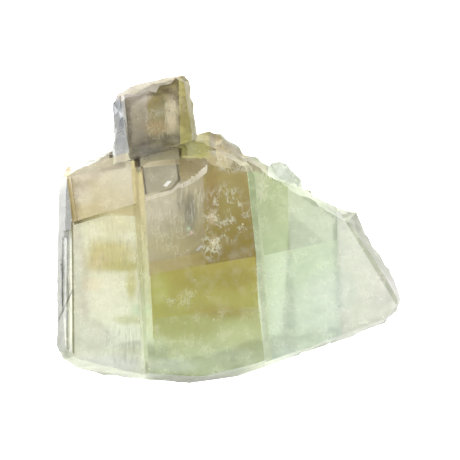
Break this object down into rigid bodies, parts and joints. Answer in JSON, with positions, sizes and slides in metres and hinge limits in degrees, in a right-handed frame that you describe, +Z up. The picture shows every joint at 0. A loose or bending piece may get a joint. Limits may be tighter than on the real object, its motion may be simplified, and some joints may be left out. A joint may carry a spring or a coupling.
{
  "type": "rough green calcite crystal",
  "caption": "Rough see-through piece of green calcite with stepped cleavage faces on top, a small block on its far side and a broken back that it lies on.",
  "frame": {"origin": "middle of the footprint's box, on the surface that the piece lies on", "axes": "+X to the thin right end, +Y to the small block on the far side, +Z up out of the cleaved front"},
  "size_m": [0.0686, 0.0614, 0.0317],
  "materials": {
    "green_calcite": "see-through green calcite, glossy on its cleavage faces, frosted and pale where it broke unevenly"
  },
  "bodies": {
    "root": {"calcite_crystal": "green_calcite"}
  },
  "joints": []
}
